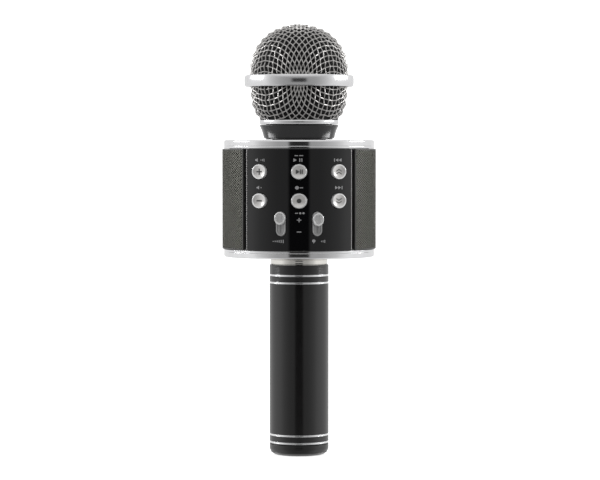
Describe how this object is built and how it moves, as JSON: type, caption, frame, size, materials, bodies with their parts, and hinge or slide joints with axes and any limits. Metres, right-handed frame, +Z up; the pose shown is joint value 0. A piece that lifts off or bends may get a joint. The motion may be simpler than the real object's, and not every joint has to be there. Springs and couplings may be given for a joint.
{
  "type": "karaoke microphone",
  "caption": "Handheld karaoke microphone: woven-wire ball head over a round speaker drum with a curved glossy control panel, on a slim tubular handle.",
  "frame": {"origin": "centre of the end cap's flat underside, below the middle of the whole object", "axes": "+Z up the microphone's axis from the end cap to the ball head; -Y towards the front, where the control panel is; +X to the right as seen from the front"},
  "size_m": [0.085, 0.0874, 0.2382],
  "materials": {
    "satin_black": "satin",
    "gloss_black": "gloss",
    "black_plastic": "matte",
    "silver_plating": "polished",
    "chrome_ring": "polished",
    "grille_grey": "matte",
    "wire_mesh": "satin",
    "foam": "matte",
    "button_silver": "satin",
    "knob_silver": "satin",
    "circuit_board": "satin",
    "steel": "satin",
    "ferrite": "matte",
    "cone_paper": "matte",
    "spider_cloth": "matte",
    "copper": "satin",
    "battery_wrap": "gloss",
    "wire_jacket": "satin"
  },
  "bodies": {
    "microphone_body": {"end_cap": "satin_black", "port_board": "circuit_board", "charge_port": "steel", "audio_jack": "black_plastic", "power_switch_body": "steel", "handle_tube": "satin_black", "battery_cell": "battery_wrap", "handle_harness": "wire_jacket", "handle_collar": "silver_plating", "handle_lock_nut": "steel", "bottom_cover": "silver_plating", "top_cover": "silver_plating", "speaker_barrel": "black_plastic", "grille_wrap": "grille_grey", "control_panel": "gloss_black", "cover_screw_1": "steel", "cover_screw_2": "steel", "cover_screw_3": "steel", "echo_slider_trough": "silver_plating", "mic_slider_trough": "silver_plating", "echo_slide_pot": "steel", "mic_slide_pot": "steel", "main_board": "circuit_board", "left_key_board": "circuit_board", "right_key_board": "circuit_board", "driver_basket": "steel", "driver_magnet": "ferrite", "driver_spider": "spider_cloth", "driver_surround": "black_plastic", "driver_screw_1": "steel", "driver_screw_2": "steel", "driver_screw_3": "steel", "driver_screw_4": "steel", "neck": "black_plastic", "capsule_mount": "black_plastic", "mic_capsule": "steel", "mic_lead": "wire_jacket", "volume_up_switch": "black_plastic", "volume_down_switch": "black_plastic", "play_switch": "black_plastic", "record_switch": "black_plastic", "previous_switch": "black_plastic", "next_switch": "black_plastic"},
    "head_thread": {"head_ring": "chrome_ring"},
    "head_ball": {"head_mesh_lower": "wire_mesh", "head_band": "chrome_ring", "head_mesh_upper": "wire_mesh", "head_foam": "foam"},
    "volume_up_key": {"volume_up_button": "button_silver"},
    "volume_down_key": {"volume_down_button": "button_silver"},
    "play_key": {"play_button": "button_silver"},
    "record_key": {"record_button": "button_silver"},
    "previous_key": {"previous_button": "button_silver"},
    "next_key": {"next_button": "button_silver"},
    "echo_slider": {"echo_slider_knob": "knob_silver"},
    "mic_slider": {"mic_slider_knob": "knob_silver"},
    "power_slider": {"power_switch_knob": "black_plastic"},
    "speaker_cone": {"driver_cone": "cone_paper", "driver_dust_cap": "cone_paper", "driver_voice_coil": "copper"}
  },
  "joints": [
    {"name": "head_rise", "type": "slide", "parent": "microphone_body", "child": "head_thread", "axis": [0, 0, 1], "range_m": [0, 0.003]},
    {"name": "head_unscrew", "type": "hinge", "parent": "head_thread", "child": "head_ball", "pos_m": [0, 0, 0.184], "axis": [0, 0, 1], "range_deg": [0, 1080]},
    {"name": "volume_up_press", "type": "slide", "parent": "microphone_body", "child": "volume_up_key", "axis": [0.5, 0.866, 0], "range_m": [0, 0.0005], "stiffness_N_per_m": 800},
    {"name": "volume_down_press", "type": "slide", "parent": "microphone_body", "child": "volume_down_key", "axis": [0.5, 0.866, 0], "range_m": [0, 0.0005], "stiffness_N_per_m": 800},
    {"name": "play_press", "type": "slide", "parent": "microphone_body", "child": "play_key", "axis": [0, 1, 0], "range_m": [0, 0.0005], "stiffness_N_per_m": 800},
    {"name": "record_press", "type": "slide", "parent": "microphone_body", "child": "record_key", "axis": [0, 1, 0], "range_m": [0, 0.0005], "stiffness_N_per_m": 800},
    {"name": "previous_press", "type": "slide", "parent": "microphone_body", "child": "previous_key", "axis": [-0.5, 0.866, 0], "range_m": [0, 0.0005], "stiffness_N_per_m": 800},
    {"name": "next_press", "type": "slide", "parent": "microphone_body", "child": "next_key", "axis": [-0.5, 0.866, 0], "range_m": [0, 0.0005], "stiffness_N_per_m": 800},
    {"name": "echo_slide", "type": "slide", "parent": "microphone_body", "child": "echo_slider", "axis": [0, 0, 1], "range_m": [-0.0063, 0]},
    {"name": "mic_volume_slide", "type": "slide", "parent": "microphone_body", "child": "mic_slider", "axis": [0, 0, 1], "range_m": [-0.0056, 0.0007]},
    {"name": "power_switch_slide", "type": "slide", "parent": "microphone_body", "child": "power_slider", "axis": [1, 0, 0], "range_m": [0, 0.0025]},
    {"name": "cone_excursion", "type": "slide", "parent": "microphone_body", "child": "speaker_cone", "axis": [0, 1, 0], "range_m": [-0.001, 0.001], "stiffness_N_per_m": 1200, "deforming": ["driver_surround", "driver_spider"]}
  ],
  "couplings": [
    {"joint": "head_unscrew", "follows": "head_rise", "rad_per_m": 6283}
  ]
}
